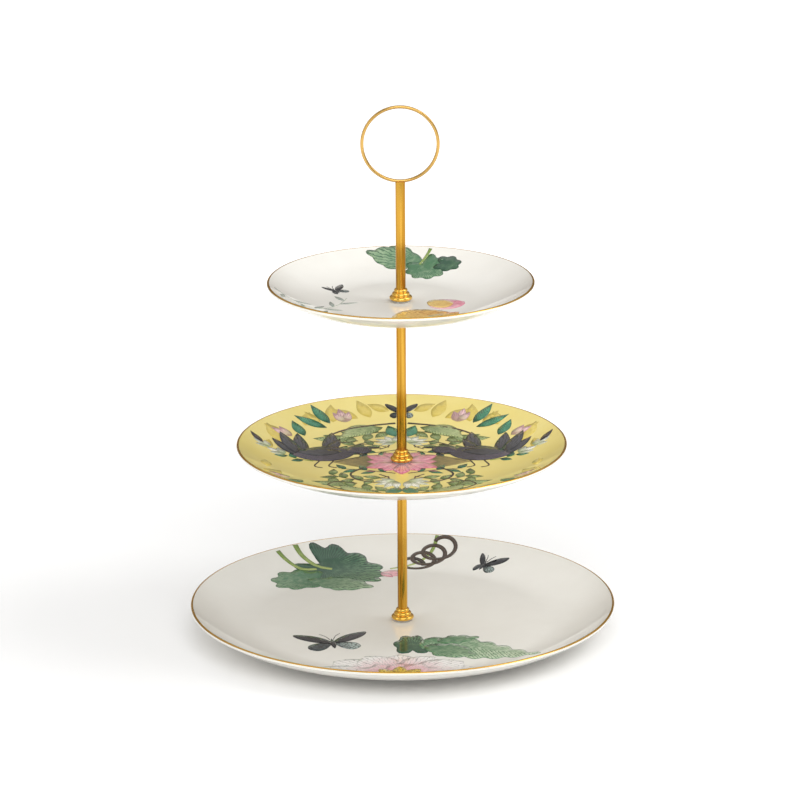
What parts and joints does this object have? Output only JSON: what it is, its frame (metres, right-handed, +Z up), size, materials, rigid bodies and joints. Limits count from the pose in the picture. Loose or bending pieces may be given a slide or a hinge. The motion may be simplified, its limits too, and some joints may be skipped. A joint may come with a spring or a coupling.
{
  "type": "tiered cake stand",
  "caption": "Three-tier china cake stand: round coupe plates with gilt rims, stacked on a slim screw-together metal column with stepped collars and a ring handle on top.",
  "frame": {"origin": "centre of the large plate's foot, on the table", "axes": "+Z up along the column; the ring handle's plane is XZ and -Y is the front"},
  "size_m": [0.27, 0.27, 0.3449],
  "materials": {
    "white_china": "clear glossy glaze over off-white bone china, with painted leaves and flowers under a gilt rim line",
    "yellow_china": "clear glossy glaze over a warm yellow ground, with painted flowers and birds and a gilt rim line",
    "gilt_metal": "polished gold plating",
    "threaded_brass": "turned and threaded brass, left unpolished",
    "clear_plastic": "clear soft plastic"
  },
  "bodies": {
    "base": {"large_plate": "white_china", "base_screw": "threaded_brass", "screw_washer": "threaded_brass", "base_washer": "clear_plastic", "large_plate_washer": "clear_plastic"},
    "turning_lower_collar": {"lower_collar": "gilt_metal"},
    "lower_column": {"lower_rod": "gilt_metal", "lower_stud": "threaded_brass", "medium_seat": "gilt_metal", "medium_under_washer": "clear_plastic", "medium_plate": "yellow_china", "medium_plate_washer": "clear_plastic"},
    "turning_middle_collar": {"middle_collar": "gilt_metal"},
    "middle_column": {"middle_rod": "gilt_metal", "upper_stud": "threaded_brass", "small_seat": "gilt_metal", "small_under_washer": "clear_plastic", "small_plate": "white_china", "small_plate_washer": "clear_plastic"},
    "turning_handle_collar": {"handle_collar": "gilt_metal"},
    "handle": {"handle_rod": "gilt_metal", "handle_ring": "gilt_metal"}
  },
  "joints": [
    {"name": "lower_rod_turn", "type": "hinge", "parent": "base", "child": "turning_lower_collar", "pos_m": [0, 0, 0.0082], "axis": [0, 0, 1], "range_deg": [0, 3960]},
    {"name": "lower_rod_rise", "type": "slide", "parent": "turning_lower_collar", "child": "lower_column", "axis": [0, 0, 1], "range_m": [0, 0.0078]},
    {"name": "middle_rod_turn", "type": "hinge", "parent": "lower_column", "child": "turning_middle_collar", "pos_m": [0, 0, 0.114], "axis": [0, 0, 1], "range_deg": [0, 3960]},
    {"name": "middle_rod_rise", "type": "slide", "parent": "turning_middle_collar", "child": "middle_column", "axis": [0, 0, 1], "range_m": [0, 0.0078]},
    {"name": "handle_turn", "type": "hinge", "parent": "middle_column", "child": "turning_handle_collar", "pos_m": [0, 0, 0.2198], "axis": [0, 0, 1], "range_deg": [0, 3960]},
    {"name": "handle_rise", "type": "slide", "parent": "turning_handle_collar", "child": "handle", "axis": [0, 0, 1], "range_m": [0, 0.0078]}
  ],
  "couplings": [
    {"joint": "lower_rod_rise", "follows": "lower_rod_turn", "m_per_rad": 0.00011141},
    {"joint": "middle_rod_rise", "follows": "middle_rod_turn", "m_per_rad": 0.00011141},
    {"joint": "handle_rise", "follows": "handle_turn", "m_per_rad": 0.00011141}
  ]
}
